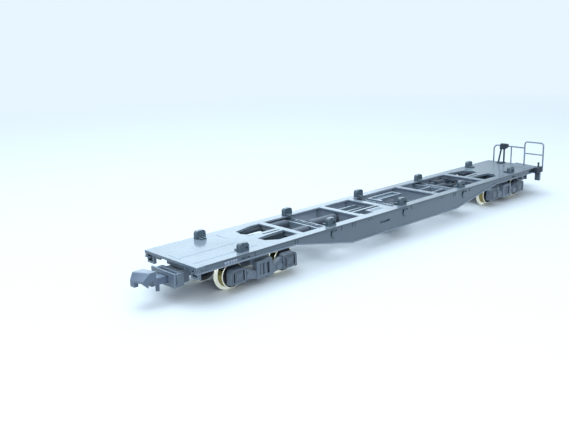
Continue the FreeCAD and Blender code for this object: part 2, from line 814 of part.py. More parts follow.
def coupler(end):
    """Hook coupler: eye round the pocket's pin, neck, sloping head, cheek, leg and tail pin."""
    def place(back, z):
        """A point of the head, counted back from the nose."""
        return (end * (nose_x - back), z)

    def head_outline(face_back, nose_z, top_z):
        """Side view of the head: a face that slopes back to face_back, over a bent bar."""
        return [place(0, nose_z), place(face_back - 0.25, top_z - 0.12), place(face_back, top_z),
                place(head_length, top_z), place(head_length, top_z - head_bar),
                place(face_back, top_z - 1.5 * head_bar), place(0.25, nose_z - head_bar),
                place(0, nose_z - head_bar)]

    # seen from outside the end, the cheek is on the right-hand side and the leg on the left
    bar = loft([(head_outline(0.85, low_nose, low_top), -end * head_half),
                (head_outline(1.8, high_nose, high_top), end * head_half)])
    cheek_outline = head_outline(1.8, high_nose, high_top)[:4]
    cheek_outline += [place(head_length, high_nose - 0.4), place(1.25, high_nose - 0.65),
                      place(1.15, high_nose - 1.65), place(0, high_nose - 0.6)]
    cheek = side_prism(cheek_outline, end * head_half, end * (head_half - cheek_width))
    leg_outline = [place(0, low_nose), place(0, low_nose - 1.3), place(0.9, low_nose - 1.3),
                   place(1.0, low_nose)]
    leg = side_prism(leg_outline, -end * head_half, -end * (head_half - leg_width))
    neck_front = nose_x - head_length + 0.4
    rear_plate = box(end * (neck_front - 0.4), end * neck_front, -head_half, head_half,
                     coupler_level, low_top - 0.1)
    neck = box(end * coupler_pivot, end * neck_front, -neck_half, neck_half,
               coupler_bottom, coupler_top)
    eye = rod(vec(end * coupler_pivot, 0, coupler_bottom), vec(end * coupler_pivot, 0, coupler_top),
              eye_radius)
    tail = rod(vec(end * tail_x, 0, tail_bottom), vec(end * tail_x, 0, coupler_level), tail_radius)
    hole = rod(vec(end * coupler_pivot, 0, coupler_bottom - 1),
               vec(end * coupler_pivot, 0, coupler_top + 1), coupler_pin_radius + coupler_pin_clearance)
    return cut(fuse([eye, neck, rear_plate, bar, cheek, leg, tail]), [hole])


for end, label in ends:
    save("bogie_frame_" + label, [bogie_frame(end)])
    save("bogie_sideframe_left_" + label, [bogie_sideframe(end, 1)])
    save("bogie_sideframe_right_" + label, [bogie_sideframe(end, -1)])
    save("coupler_" + label, [coupler(end)])
    for place_name, offset in (("outer", bogie_wheelbase / 2), ("inner", -bogie_wheelbase / 2)):
        save("wheelset_" + place_name + "_" + label, [wheelset(pivot(end) + end * offset)])


# ---- end beams and corner steps -----------------------------------------------------------
end_beam_back, end_beam_front = half_length - 1.3, half_length - 0.5
end_beam_depth = 1.4
end_beam_gap = 4.2                  # half width of the opening over the coupler pocket
step_front, step_back = half_length - 0.4, half_length - 1.1
step_rim = 0.45
steps = {
    # end: inner and outer edge across the car, bottom
    -1: (half_width - 2.55, half_width - 0.2, shallow_bottom - 0.9),
    1: (half_width - 0.8, half_width + 0.8, shallow_bottom - 2.7),
}
block_half = 3.0
block_length = 1.5


def corner_step(end, side):
    """Step under a corner of the frame: a block with a square recess in its front."""
    inner, outer, bottom = steps[end]
    foot = box(end * step_back, end * step_front, side * inner, side * outer,
               bottom, shallow_bottom)
    recess = box(end * (step_front - step_rim), end * (step_front + 1), side * (inner + step_rim),
                 side * (outer - step_rim), bottom + step_rim, shallow_bottom - step_rim / 2)
    pieces = [foot]
    if inner < lip_inner:
        pieces.append(box(end * step_back, end * step_front, side * inner, side * lip_inner,
                          shallow_bottom, deck_underside))
    return cut(fuse(pieces), [recess])


def end_beam(end, side):
    """Half of the beam below the deck's end, between the sill or step and the coupler pocket."""
    outer = min(steps[end][0], lip_inner) - seat_gap
    return box(end * end_beam_back, end * end_beam_front, side * end_beam_gap, side * outer,
               deck_underside - end_beam_depth, deck_underside)


for end, label in ends:
    save("corner_steps_" + label, [corner_step(end, 1), corner_step(end, -1)])
save("end_beams", [end_beam(end, side) for end, _ in ends for side in (1, -1)])
save("end_blocks", [
    box(end * (end_beam_back - block_length), end * end_beam_back, -block_half, block_half,
        pocket_top + 2 * seat_gap, deck_underside)
    for end, _ in ends
])


# ---- handrails and brake stand at the brake end -------------------------------------------
rail_radius = 0.22
bar_radius = 0.2
rail_x = half_length - 0.45
loop_outer_y = -half_width - 1.2    # the outer leg stands outside the sill, held by a bracket
loop_width = 6.1
loop_inner_y = loop_outer_y + loop_width
loop_foot = shallow_bottom + 0.1
loop_top = deck_top + 7.2
loop_middle = deck_top + 3.6
loop_bend = 0.9
low_rail_top = deck_top + 5.25
low_rail_end_y = half_width - 2.15
low_rail_post_y = 0.6
low_rail_bend = 1.3
stand_x = rail_x - 0.9
stand_head_bottom, stand_head_top = deck_top + 4.3, deck_top + 6.05
stand_head_half = 0.55              # along the car
stand_left, stand_right = 3.9, 1.3  # sides of the head, across the car
stand_leg = 0.4                     # thickness of each leg
stand_post_y = 2.55                 # the upright leg
stand_brace_y = 3.6                 # the leaning leg
stand_lean = 1.5                    # its foot's distance from the head, along the car
stand_foot = 0.25
bracket_length = 3.2
bracket_top = deck_top + 0.1
spike_width = 0.4                   # upright stop on the bracket
spike_height = 1.3
ARC_MIDDLE = 1 - 0.5 ** 0.5         # how far an arc's middle lies from the bend's outer tangents


def straight(start, end):
    return Part.LineSegment(start, end).toShape()


def bend_down(y_corner, toward, top, radius):
    """Quarter circle from the level rail at height top into a leg at y_corner."""
    level = vec(rail_x, y_corner - toward * radius, top)
    middle = vec(rail_x, y_corner - toward * radius * ARC_MIDDLE, top - radius * ARC_MIDDLE)
    upright = vec(rail_x, y_corner, top - radius)
    return level, middle, upright


def pipe(edges, start, direction):
    """Round bar swept along joined lines and arcs."""
    ring = Part.Wire([Part.Circle(start, direction, rail_radius).toShape()])
    return Part.Wire(edges).makePipeShell([ring], True, False)


def handrail_loop():
    """Tall loop at the right corner with a bar across its middle."""
    foot = vec(rail_x, loop_inner_y, deck_top)
    level_in, middle_in, upright_in = bend_down(loop_inner_y, 1, loop_top, loop_bend)
    level_out, middle_out, upright_out = bend_down(loop_outer_y, -1, loop_top, loop_bend)
    loop = pipe([
        straight(foot, upright_in),
        Part.Arc(upright_in, middle_in, level_in).toShape(),
        straight(level_in, level_out),
        Part.Arc(level_out, middle_out, upright_out).toShape(),
        straight(upright_out, vec(rail_x, loop_outer_y, loop_foot)),
    ], foot, UP)
    bar = rod(vec(rail_x, loop_outer_y, loop_middle), vec(rail_x, loop_inner_y, loop_middle), bar_radius)
    return fuse([loop, bar])


def low_handrail():
    """Lower rail from the loop to the left corner, bent down at its end, and its middle post."""
    start = vec(rail_x, loop_inner_y + rail_radius, low_rail_top)
    level, middle, upright = bend_down(low_rail_end_y, 1, low_rail_top, low_rail_bend)
    rail = pipe([
        straight(start, level),
        Part.Arc(level, middle, upright).toShape(),
        straight(upright, vec(rail_x, low_rail_end_y, deck_top)),
    ], start, ACROSS)
    post = rod(vec(rail_x, low_rail_post_y, deck_top), vec(rail_x, low_rail_post_y, low_rail_top),
               bar_radius)
    return fuse([rail, post])


def brake_stand():
    """Housing of the hand brake on an upright leg and a leg that leans along the car."""
    half_leg = stand_leg / 2
    head_outline = [(stand_left, stand_head_bottom), (stand_post_y - half_leg, stand_head_bottom),
                    (stand_right + 0.2, stand_head_bottom + 0.6), (stand_right, stand_head_top - 0.5),
                    (stand_right + 0.2, stand_head_top), (stand_left - 0.2, stand_head_top)]
    corners = [vec(stand_x - stand_head_half, y, z) for y, z in head_outline]
    head = prism(corners, vec(2 * stand_head_half, 0, 0))
    post = box(stand_x - half_leg, stand_x + half_leg, stand_post_y - half_leg,
               stand_post_y + half_leg, deck_top, stand_head_bottom + 0.1)
    lean_x = stand_x - stand_lean
    brace_outline = [(stand_x - half_leg, stand_head_bottom + 0.1),
                     (stand_x + half_leg, stand_head_bottom + 0.1),
                     (lean_x + half_leg, deck_top), (lean_x - half_leg, deck_top)]
    brace = side_prism(brace_outline, stand_brace_y - half_leg, stand_brace_y + half_leg)
    foot = box(lean_x - stand_leg, stand_x + stand_leg, stand_post_y - stand_leg,
               stand_brace_y + stand_leg, deck_top, deck_top + stand_foot)
    return fuse([head, post, brace, foot])


def corner_bracket():
    """Bracket on the outside of the right sill that holds the loop's outer leg, with a stop."""
    bracket = box(rail_x - bracket_length, rail_x + rail_radius, loop_outer_y, -half_width,
                  shallow_bottom, bracket_top)
    spike = box(rail_x - 2 * spike_width, rail_x - spike_width, -half_width - spike_width,
                -half_width, bracket_top, bracket_top + spike_height)
    leg_hole = rod(vec(rail_x, loop_outer_y, loop_foot), vec(rail_x, loop_outer_y, bracket_top + 1),
                   rail_radius)
    return cut(fuse([bracket, spike]), [leg_hole])


save("handrail_loop", [handrail_loop()])
save("low_handrail", [low_handrail()])
save("brake_stand", [brake_stand()])
save("corner_clamp", [corner_bracket()])
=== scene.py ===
import json
from math import cos, hypot, pi, radians, sin, tan

import bmesh
import bpy
from mathutils import Matrix, Vector


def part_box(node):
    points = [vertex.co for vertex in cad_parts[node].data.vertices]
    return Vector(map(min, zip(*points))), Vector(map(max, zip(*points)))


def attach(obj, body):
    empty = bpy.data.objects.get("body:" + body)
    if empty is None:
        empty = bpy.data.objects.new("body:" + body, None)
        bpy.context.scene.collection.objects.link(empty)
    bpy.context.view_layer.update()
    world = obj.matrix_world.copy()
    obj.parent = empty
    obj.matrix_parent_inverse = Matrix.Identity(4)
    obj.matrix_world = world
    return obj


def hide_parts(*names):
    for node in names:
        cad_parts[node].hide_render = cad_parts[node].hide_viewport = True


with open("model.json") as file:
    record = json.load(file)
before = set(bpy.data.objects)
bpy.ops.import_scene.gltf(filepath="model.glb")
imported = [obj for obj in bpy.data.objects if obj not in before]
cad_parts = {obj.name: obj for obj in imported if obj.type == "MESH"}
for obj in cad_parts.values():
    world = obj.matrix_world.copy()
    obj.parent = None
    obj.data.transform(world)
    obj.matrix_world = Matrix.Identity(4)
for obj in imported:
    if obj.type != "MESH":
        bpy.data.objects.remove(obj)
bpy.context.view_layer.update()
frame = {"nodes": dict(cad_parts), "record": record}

# Looks of the container flat car model. Shapes are written in millimetres of the frame of
# the CAD model: X along the car toward its brake end, Y across it, Z up.
MM = 0.001
record = frame["record"]
scene = bpy.context.scene
body_of_node = {node: body for body, nodes in record["behaviour"]["bodies"].items()
                for node in nodes}
slot_of_node = {part["node"]: part["material_slot"] for part in record["subparts"]}
ends = ((-1, "plain"), (1, "brake"))
sides = ((1, "left"), (-1, "right"))
stood_for = set()                       # CAD nodes that a visible piece already stands for


def node_box(node):
    """Lowest and highest corner of a CAD node in millimetres."""
    low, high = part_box(node)
    return low / MM, high / MM


# ---- levels and places read from the model ------------------------------------------------
deck_top = node_box("cross_beams")[1].z
half_width = node_box("end_deck_plain")[1].y
web_face = half_width - 0.25            # outer face of the sills' webs, from the middle
lock_count = 5
lock_boxes = [node_box("container_lock_pair_%d" % number) for number in range(1, lock_count + 1)]
lock_places = [(low.x + high.x) / 2 for low, high in lock_boxes]


# ---- camera -------------------------------------------------------------------------------
def make_camera():
    """Camera at its place in metres, turned by angles in radians."""
    place = (-0.142986, -0.115867, 0.052037)
    yaw, pitch, roll = 0.755, 0.25, -0.027
    forward = Vector((sin(yaw) * cos(pitch), cos(yaw) * cos(pitch), -sin(pitch)))
    level_right = Vector((cos(yaw), -sin(yaw), 0))
    level_up = level_right.cross(forward)
    right = level_right * cos(roll) + level_up * sin(roll)
    up = level_up * cos(roll) - level_right * sin(roll)
    data = bpy.data.cameras.new("camera")
    data.sensor_width = 36              # both in millimetres
    data.lens = 46.47
    data.clip_start = 0.005
    data.clip_end = 50
    camera = bpy.data.objects.new("camera", data)
    camera.matrix_world = Matrix((right, up, -forward)).transposed().to_4x4()
    camera.location = place
    scene.collection.objects.link(camera)
    scene.camera = camera


make_camera()


# ---- node material helpers ----------------------------------------------------------------
def new_tree(name):
    """Empty node tree of a new material with its output node."""
    material = bpy.data.materials.new(name)
    material.use_nodes = True
    tree = material.node_tree
    tree.nodes.clear()
    return material, tree, tree.nodes.new("ShaderNodeOutputMaterial")


def link(tree, source, target):
    tree.links.new(source, target)


def attribute(tree, name):
    """Value that the shape builder has written on each face."""
    node = tree.nodes.new("ShaderNodeAttribute")
    node.attribute_name = name
    return node.outputs["Fac"]


def noise(tree, coordinates, scale, detail):
    """Cloudy pattern with about scale cells to the metre."""
    node = tree.nodes.new("ShaderNodeTexNoise")
    node.inputs["Scale"].default_value = scale
    node.inputs["Detail"].default_value = detail
    link(tree, coordinates, node.inputs["Vector"])
    return node.outputs["Fac"]


def ranged(tree, value, low, high, start=0.3, end=0.7):
    """A value between start and end spread over low to high."""
    node = tree.nodes.new("ShaderNodeMapRange")
    node.inputs["From Min"].default_value = start
    node.inputs["From Max"].default_value = end
    node.inputs["To Min"].default_value = low
    node.inputs["To Max"].default_value = high
    link(tree, value, node.inputs["Value"])
    return node.outputs["Result"]


def maths(tree, operation, first, second):
    """Two values put together, each a number or a socket."""
    node = tree.nodes.new("ShaderNodeMath")
    node.operation = operation
    for socket, value in zip(node.inputs, (first, second)):
        if isinstance(value, float):
            socket.default_value = value
        else:
            link(tree, value, socket)
    return node.outputs["Value"]


def times(tree, first, second):
    return maths(tree, "MULTIPLY", first, second)


def greater(tree, first, second):
    return maths(tree, "MAXIMUM", first, second)


def mixed(tree, factor, first, second):
    """Blend of two colours, each a colour or a socket."""
    node = tree.nodes.new("ShaderNodeMix")
    node.data_type = "RGBA"
    link(tree, factor, node.inputs["Factor"])
    colours = [socket for socket in node.inputs if socket.type == "RGBA"]
    for socket, value in zip(colours, (first, second)):
        if isinstance(value, tuple):
            socket.default_value = (*value, 1)
        else:
            link(tree, value, socket)
    return next(socket for socket in node.outputs if socket.type == "RGBA")


def mixed_shader(tree, factor, first, second):
    node = tree.nodes.new("ShaderNodeMixShader")
    link(tree, factor, node.inputs["Fac"])
    link(tree, first, node.inputs[1])
    link(tree, second, node.inputs[2])
    return node.outputs["Shader"]


def shaded(colour, factor):
    """The colour made lighter or darker, and never past white."""
    return tuple(min(1.0, channel * factor) for channel in colour)


def bumped(tree, height, strength, distance):
    node = tree.nodes.new("ShaderNodeBump")
    node.inputs["Strength"].default_value = strength
    node.inputs["Distance"].default_value = distance
    link(tree, height, node.inputs["Height"])
    return node.outputs["Normal"]


def with_painted_shade(tree, colour, reach, depth):
    """The colour, darkened down to depth by painted shade in corners and gaps narrower than reach.
    """
    closed_in, open_air = 0.1, 0.62     # share of a face's surroundings that is free
    corners = tree.nodes.new("ShaderNodeAmbientOcclusion")
    corners.samples = 8
    corners.inputs["Distance"].default_value = reach
    left = ranged(tree, corners.outputs["AO"], depth, 1.0, closed_in, open_air)
    dark = tree.nodes.new("ShaderNodeVectorMath")
    dark.operation = "SCALE"
    link(tree, colour, dark.inputs[0])
    link(tree, left, dark.inputs["Scale"])
    return dark.outputs["Vector"]


# colours and patterns of the materials: scales in cells to the metre, the rest in metres
# white paint, and painted light on some faces
white_paint_and_painted_light_colour = (0.68, 0.77, 0.95)
# painted sheen on faces turned upward
top_sheen_colour = (0.62, 0.70, 0.78)
# tread band: tarnish, and a painted dark reflection
tread_tarnish_and_reflection_colour = (0.22, 0.185, 0.07)
# black wheel centres, and painted shade on the wheel backs
black_centre_and_shade_colour = (0.035, 0.040, 0.048)
flow_scale, speck_scale, grain_scale = 90.0, 1400.0, 9000.0
smear_scale, plating_scale = 500.0, 6000.0
grain_strength, grain_height = 0.25, 0.00001
# how far the painted shade in corners and gaps reaches, and how dark it gets
shade_reach, shade_depth = 0.0013, 0.15


def plastic(name, colour, roughness, top_sheen=0.25, coat_roughness=0.12, coat_weight=1.0):
    """Satin moulded plastic: mottling, fine grain, rubbed edges with a painted highlight, a
    painted sheen on faces turned upward, and painted shade in corners.

    Where a face has them, its edge mark bares lighter plastic and paints a highlight, its
    darkening mark darkens it, partly as painted shade, and its whitening mark whitens it, as white
    paint on some faces and painted light on others."""
    material, tree, output = new_tree(name)
    shader = tree.nodes.new("ShaderNodeBsdfPrincipled")
    place = tree.nodes.new("ShaderNodeTexCoord").outputs["Object"]
    flow = noise(tree, place, flow_scale, 4.0)
    specks = noise(tree, place, speck_scale, 3.0)
    grain = noise(tree, place, grain_scale, 2.0)
    tint = mixed(tree, ranged(tree, flow, 0.0, 1.0), shaded(colour, 0.93), shaded(colour, 1.06))
    tint = mixed(tree, ranged(tree, specks, 0.0, 0.35, 0.45, 0.75), tint, shaded(colour, 0.86))
    # rounded edges are lightened: rubbed plastic, and a painted highlight
    rubbed_and_highlit = times(tree, attribute(tree, "wear_and_painted_light"), ranged(tree, specks, 0.45, 0.95, 0.35, 0.6))
    tint = mixed(tree, rubbed_and_highlit, tint, shaded(colour, 2.4))
    # painted shade round the axlebox covers, and darkening on the sills
    tint = mixed(tree, attribute(tree, "shade_and_darkening"), tint, shaded(colour, 0.1))
    # white paint on the data panel, painted light on other faces
    tint = mixed(tree, attribute(tree, "white_paint_and_painted_light"), tint, white_paint_and_painted_light_colour)
    # faces turned upward are lightened by a painted sheen
    facing = tree.nodes.new("ShaderNodeSeparateXYZ")
    link(tree, tree.nodes.new("ShaderNodeNewGeometry").outputs["Normal"], facing.inputs["Vector"])
    upward = ranged(tree, facing.outputs["Z"], 0.0, top_sheen, 0.6, 1.0)
    top_sheen_mask = times(tree, upward, ranged(tree, flow, 0.5, 1.0, 0.3, 0.65))
    # faces are darkened by painted shade in corners and gaps
    tint = with_painted_shade(tree, mixed(tree, top_sheen_mask, tint, top_sheen_colour), shade_reach, shade_depth)
    link(tree, tint, shader.inputs["Base Color"])
    uneven = ranged(tree, specks, roughness - 0.05, roughness + 0.08)
    link(tree, uneven, shader.inputs["Roughness"])
    link(tree, bumped(tree, grain, grain_strength, grain_height), shader.inputs["Normal"])
    shader.inputs["IOR"].default_value = 1.45
    shader.inputs["Specular IOR Level"].default_value = 0.3
    shader.inputs["Specular Tint"].default_value = (0.86, 0.94, 1.0, 1)
    shader.inputs["Coat Weight"].default_value = coat_weight
    shader.inputs["Coat Roughness"].default_value = coat_roughness
    shader.inputs["Coat Tint"].default_value = (0.97, 0.99, 1.0, 1)
    shader.inputs["Coat IOR"].default_value = 1.34
    link(tree, shader.outputs["BSDF"], output.inputs["Surface"])
    return material


def plated_metal(name, colour):
    """Plated tyre metal with smears, a tread band darkened for tarnish and as a painted dark
    reflection, blackened centres, and painted shade on the wheel backs.
    """
    material, tree, output = new_tree(name)
    shader = tree.nodes.new("ShaderNodeBsdfPrincipled")
    place = tree.nodes.new("ShaderNodeTexCoord").outputs["Object"]
    smear = noise(tree, place, smear_scale, 4.0)
    grain = noise(tree, place, plating_scale, 2.0)
    centre = attribute(tree, "centre")
    tint = mixed(tree, ranged(tree, smear, 0.0, 1.0), colour, shaded(colour, 0.72))
    # the tread band is darkened for tarnish and as a painted dark reflection
    tint = mixed(tree, attribute(tree, "wear_and_painted_light"), tint, tread_tarnish_and_reflection_colour)
    # black centres, and painted shade on the wheel backs
    tint = mixed(tree, centre, tint, black_centre_and_shade_colour)
    link(tree, tint, shader.inputs["Base Color"])
    rough = maths(tree, "ADD", ranged(tree, smear, 0.16, 0.28), times(tree, centre, 0.4))
    link(tree, rough, shader.inputs["Roughness"])
    link(tree, ranged(tree, centre, 1.0, 0.0, 0.0, 1.0), shader.inputs["Metallic"])
    link(tree, bumped(tree, grain, grain_strength, grain_height), shader.inputs["Normal"])
    link(tree, shader.outputs["BSDF"], output.inputs["Surface"])
    return material


slot_materials = {
    "body_plastic": plastic("body_plastic", (0.170, 0.222, 0.275), 0.36),
    "lock_plastic": plastic("lock_plastic", (0.080, 0.118, 0.150), 0.40,
                            top_sheen=0.22, coat_roughness=0.2),
    "bogie_plastic": plastic("bogie_plastic", (0.185, 0.232, 0.292), 0.42,
                             top_sheen=0.1, coat_roughness=0.3),
    "coupler_plastic": plastic("coupler_plastic", (0.170, 0.225, 0.315), 0.38,
                               top_sheen=0.12, coat_roughness=0.25),
    "rail_plastic": plastic("rail_plastic", (0.270, 0.320, 0.410), 0.40,
                            top_sheen=0.1, coat_roughness=0.25),
    "gear_plastic": plastic("gear_plastic", (0.040, 0.054, 0.075), 0.50,
                            top_sheen=0.05, coat_roughness=0.3, coat_weight=0.15),
    "wheel_metal": plated_metal("wheel_metal", (0.98, 0.94, 0.80)),
}


# ---- shape builder ------------------------------------------------------------------------
# point from its place in a section and its distance along the axis that is named
PLACED = {
    "x": lambda a, b, t: Vector((t, a, b)),
    "y": lambda a, b, t: Vector((a, t, b)),
    "z": lambda a, b, t: Vector((a, b, t)),
}


def rounded(points, radius, steps):
    """Outline with its corners rounded, each in a few steps."""
    count = len(points)
    result = []
    for i in range(count):
        corner = Vector(points[i])
        to_last = (Vector(points[i - 1]) - corner).normalized()
        to_next = (Vector(points[(i + 1) % count]) - corner).normalized()
        reach = radius / tan(to_last.angle(to_next) / 2)
        start, end = corner + to_last * reach, corner + to_next * reach
        for k in range(steps + 1):
            t = k / steps
            result.append(tuple((1 - t) ** 2 * start + 2 * t * (1 - t) * corner + t * t * end))
    return result


def rectangle(a0, a1, b0, b1):
    return [(a0, b0), (a1, b0), (a1, b1), (a0, b1)]


def ring_of_faces(bm, low, high):
    """Faces between two rings of points, either of which may be a single point."""
    count = max(len(low), len(high))
    faces = []
    for k in range(count):
        n = (k + 1) % count
        corners = (low[k % len(low)], low[n % len(low)], high[n % len(high)], high[k % len(high)])
        unique = list(dict.fromkeys(corners))
        if len(unique) > 2:
            faces.append(bm.faces.new(unique))
    return faces


class Shape:
    """One piece being built, in millimetres.

    Each face carries an edge mark (1 on rounded edges, for rubbed plastic and a painted highlight,
    and on wheel treads, for tarnish and a painted dark reflection), a centre mark (blackened wheel
    centres, and painted shade on the wheel backs), a whitening mark (white paint, and painted
    light on some faces) and a darkening mark (painted shade round the axlebox covers, and
    darkening elsewhere), which the materials read."""

    def __init__(self):
        self.bm = bmesh.new()
        self.wear_and_painted_light = self.bm.faces.layers.float.new("wear_and_painted_light")
        self.centre = self.bm.faces.layers.float.new("centre")
        self.white_paint_and_painted_light = self.bm.faces.layers.float.new("white_paint_and_painted_light")
        self.shade_and_darkening = self.bm.faces.layers.float.new("shade_and_darkening")

    def soften(self, faces, edge):
        """Round the sharp edges of these faces."""
        if not edge:
            return
        edges = dict.fromkeys(e for f in faces for e in f.edges
                              if e.is_manifold and e.calc_face_angle(0) > radians(30))
        made = bmesh.ops.bevel(self.bm, geom=list(edges), offset=edge, segments=2, profile=0.5,
                               affect="EDGES", clamp_overlap=True)
        # the rounded edges are marked to be lightened, as rubbed plastic and as a painted
        # highlight
        for face in made["faces"]:
            face[self.wear_and_painted_light] = 1

    def add_node(self, node, edge):
        """The CAD node's own shape with rounded edges."""
        source = bmesh.new()
        source.from_mesh(frame["nodes"][node].data)
        bmesh.ops.remove_doubles(source, verts=source.verts, dist=0.002 * MM)
        bmesh.ops.dissolve_limit(source, angle_limit=radians(1), verts=source.verts,
                                 edges=source.edges)
        bmesh.ops.scale(source, vec=(1 / MM,) * 3, verts=source.verts)
        corners = {v: self.bm.verts.new(v.co) for v in source.verts}
        faces = []
        for face in source.faces:
            try:
                faces.append(self.bm.faces.new([corners[v] for v in face.verts]))
            except ValueError:          # a second face on the same corners is left out
                pass
        source.free()
        self.bm.normal_update()
        self.soften(faces, edge)

    def prism(self, outline, along, start, end, edge=0.06):
        """Closed outline in the two other axes, pushed along an axis from start to end."""
        place = PLACED[along]
        first = [self.bm.verts.new(place(a, b, start)) for a, b in outline]
        last = [self.bm.verts.new(place(a, b, end)) for a, b in outline]
        count = len(outline)
        faces = [self.bm.faces.new(first), self.bm.faces.new(last[::-1])]
        for i in range(count):
            j = (i + 1) % count
            faces.append(self.bm.faces.new((first[j], first[i], last[i], last[j])))
        bmesh.ops.recalc_face_normals(self.bm, faces=faces)
        self.soften(faces, edge)

    def block(self, x0, x1, y0, y1, z0, z1, edge=0.06):
        """Block between pairs of places on the three axes, with rounded edges."""
        self.prism(rectangle(min(x0, x1), max(x0, x1), min(y0, y1), max(y0, y1)), "z",
                   min(z0, z1), max(z0, z1), edge)

    def lathe(self, profile, centre, along, steps):
        """Profile of (distance along the axis, radius) turned round an axis through centre."""
        centre = Vector(centre)
        place = PLACED[along]
        rings = []
        for distance, radius in profile:
            turns = [2 * pi * k / steps for k in range(steps if radius > 0 else 1)]
            rings.append([self.bm.verts.new(
                centre + place(radius * cos(turn), radius * sin(turn), distance))
                for turn in turns])
        faces = []
        for low, high in zip(rings, rings[1:]):
            faces += ring_of_faces(self.bm, low, high)
        bmesh.ops.recalc_face_normals(self.bm, faces=faces)
        return faces

    def tube(self, points, radius, steps=10):
        """Round bar along points, closed at both ends."""
        points = [Vector(p) for p in points]
        side = None
        rings = []
        for i, point in enumerate(points):
            ahead = points[min(i + 1, len(points) - 1)] - points[max(i - 1, 0)]
            ahead.normalize()
            if side is None:
                side = ahead.orthogonal().normalized()
            side = (side - ahead * side.dot(ahead)).normalized()
            other = ahead.cross(side)
            rings.append([self.bm.verts.new(point + radius * (
                side * cos(2 * pi * k / steps) + other * sin(2 * pi * k / steps)))
                for k in range(steps)])
        faces = [self.bm.faces.new(rings[0]), self.bm.faces.new(rings[-1])]
        for low, high in zip(rings, rings[1:]):
            faces += ring_of_faces(self.bm, low, high)
        bmesh.ops.recalc_face_normals(self.bm, faces=faces)

    def finish(self, name, body, slot, *nodes):
        """Make the object. It rides on the body and stands for the CAD nodes named."""
        bmesh.ops.scale(self.bm, vec=(MM,) * 3, verts=self.bm.verts)
        mesh = bpy.data.meshes.new(name)
        self.bm.to_mesh(mesh)
        self.bm.free()
        mesh.shade_smooth()
        mesh.materials.append(slot_materials[slot])
        piece = bpy.data.objects.new(name, mesh)
        scene.collection.objects.link(piece)
        normals = piece.modifiers.new("flat_faces", "WEIGHTED_NORMAL")
        normals.weight = 80
        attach(piece, body)
        if nodes:
            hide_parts(*nodes)
            stood_for.update(nodes)

    def stand_for(self, node):
        """Make the object that takes the place of a CAD node, on its body and in its slot."""
        self.finish(node + "_piece", body_of_node[node], slot_of_node[node], node)


# ---- container locks ----------------------------------------------------------------------
def lock_details(shape, x, outer, side, top):
    """Latch blade in the slanting groove, bar over the window and a rib at the foot.

    x is the lock's middle, outer its outer face on the side, and top its top."""
    blade = [(x - 0.62, top - 0.05), (x - 0.36, top - 0.05), (x - 0.02, top - 1.5),
             (x - 0.22, top - 1.5)]
    shape.prism(blade, "y", outer - side * 0.3, outer - side * 0.02, 0.03)
    shape.block(x + 0.2, x + 0.95, outer - side * 0.3, outer - side * 0.12, top - 1.42, top - 1.26,
                0.03)
    shape.block(x - 1.2, x + 1.2, outer - side * 0.05, outer + side * 0.05, deck_top + 0.02,
                deck_top + 0.14, 0.02)


for number, (lock_x, (_, lock_high)) in enumerate(zip(lock_places, lock_boxes), start=1):
    shape = Shape()
    shape.add_node("container_lock_pair_%d" % number, 0.05)
    for side in (-1, 1):
        lock_details(shape, lock_x, side * lock_high.y, side, lock_high.z)
    shape.stand_for("container_lock_pair_%d" % number)


# ---- wheelsets ----------------------------------------------------------------------------
# faces of a wheel from the middle of its axle, and the depth of its flange
wheel_back, flange_face, wheel_front = 3.7, 4.2, 5.75
flange_depth = 0.7
axle_end = 5.8


def wheel_profile(tread, flange):
    """Half section of a wheel from its back to its front, as (distance, radius)."""
    inner, outer = wheel_back, wheel_front
    return [
        (inner, 0), (inner, tread * 0.42), (inner + 0.08, tread * 0.5),
        (inner + 0.3, tread * 0.55), (inner + 0.3, tread * 0.78),
        (inner + 0.05, tread * 0.86), (inner, tread * 0.9),
        (inner, flange - 0.22), (inner + 0.06, flange - 0.07), (inner + 0.18, flange),
        (inner + 0.3, flange - 0.05), (flange_face - 0.06, flange - 0.3),
        (flange_face + 0.02, tread + 0.12), (flange_face + 0.14, tread + 0.02),
        (outer - 0.14, tread - 0.03), (outer - 0.03, tread - 0.1), (outer, tread - 0.2),
        (outer, tread - 0.48), (outer - 0.1, tread - 0.56), (outer - 0.34, tread - 0.66),
        (outer - 0.38, tread * 0.6), (outer - 0.3, tread * 0.42), (outer - 0.06, tread * 0.36),
        (outer, tread * 0.3), (outer, 0),
    ]


def wheelset(node):
    """Two wheels on a blackened axle, with its bright journals."""
    low, high = node_box(node)
    centre = (low + high) / 2
    flange = (high.z - low.z) / 2
    tread = flange - flange_depth
    shape = Shape()
    for side in (-1, 1):
        profile = [(side * along, radius) for along, radius in wheel_profile(tread, flange)]
        for face in shape.lathe(profile, centre, "y", 64):
            spoke = face.calc_center_median() - centre
            reach = hypot(spoke.x, spoke.z)
            # the wheel's back is blackened as painted shade, its centre as black plastic
            on_back = abs(spoke.y) < wheel_back + 0.05 and reach < flange - 0.1
            if reach < tread - 0.25 or on_back:
                face[shape.centre] = 1
            # the tread band is marked to be darkened for tarnish and as a painted dark reflection
            elif tread - 0.06 < reach < tread + 0.06:
                face[shape.wear_and_painted_light] = 1
    axle = shape.lathe([(-axle_end, 0), (-axle_end, 0.6), (-3.4, 0.62), (-1.6, 0.75),
                        (1.6, 0.75), (3.4, 0.62), (axle_end, 0.6), (axle_end, 0)],
                       centre, "y", 24)
    for face in axle:
        face[shape.centre] = 1
    shape.lathe([(low.y, 0), (low.y, 0.3), (low.y + 0.15, 0.45), (high.y - 0.15, 0.45),
                 (high.y, 0.3), (high.y, 0)], centre, "y", 24)
    shape.stand_for(node)


for end, label in ends:
    for place in ("outer", "inner"):
        wheelset("wheelset_%s_%s" % (place, label))


# ---- side frames of the bogies ------------------------------------------------------------
spring_low, spring_high = 2.35, 4.65
# half width of the bead round an axlebox cover, and its lowest and highest place, both from
# the axle
bead_half_width, bead_low, bead_high = 1.6, -1.3, 1.45


